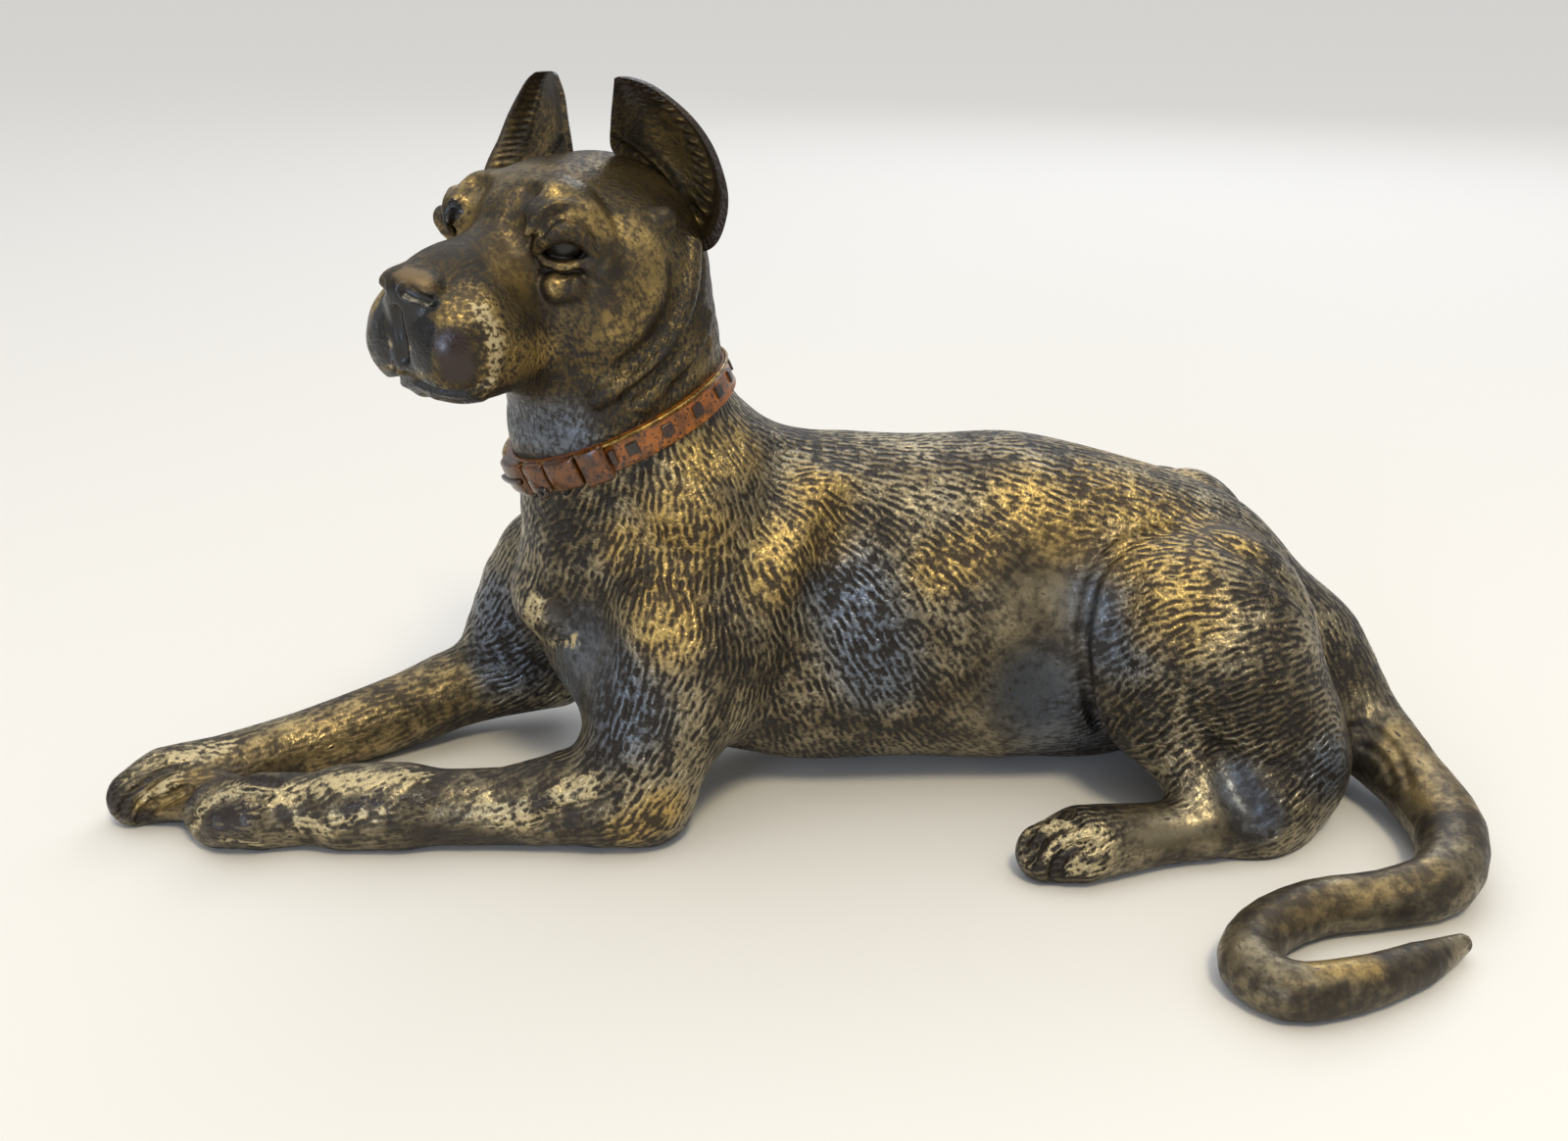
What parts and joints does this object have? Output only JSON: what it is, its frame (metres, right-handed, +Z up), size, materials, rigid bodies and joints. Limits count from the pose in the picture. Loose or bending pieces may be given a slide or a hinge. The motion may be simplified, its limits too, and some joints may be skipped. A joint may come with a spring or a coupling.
{
  "type": "lying dog figurine",
  "caption": "Cast bronze figurine of a large smooth dog lying with its head up and turned, ears pricked, tail curled on the ground, with a painted buckled collar",
  "frame": {"origin": "on the ground plane, under the middle of the bounding box", "axes": "the dog faces -X, its left side is toward -Y, +Z is up"},
  "size_m": [0.178, 0.1004, 0.0938],
  "materials": {
    "patinated_bronze": "dark brown patina, rubbed back to bare bronze and gold on the high spots, worn cream paint on the paws and chest",
    "strap_paint": "old orange enamel with dark raised studs",
    "buckle_paint": "old brown enamel, slightly glossy",
    "dowel_brass": "plain turned brass"
  },
  "bodies": {
    "root": {"torso_casting": "patinated_bronze", "head_casting": "patinated_bronze", "left_foreleg": "patinated_bronze", "right_foreleg": "patinated_bronze", "left_hind_leg": "patinated_bronze", "right_hind_leg": "patinated_bronze", "tail_casting": "patinated_bronze", "left_ear": "patinated_bronze", "right_ear": "patinated_bronze", "collar_strap": "strap_paint", "collar_tongue": "strap_paint", "collar_buckle": "buckle_paint", "collar_prong": "buckle_paint", "collar_keeper": "buckle_paint", "head_dowel": "dowel_brass", "left_foreleg_dowel": "dowel_brass", "right_foreleg_dowel": "dowel_brass", "left_hind_leg_dowel": "dowel_brass", "right_hind_leg_dowel": "dowel_brass", "tail_dowel": "dowel_brass"}
  },
  "joints": []
}
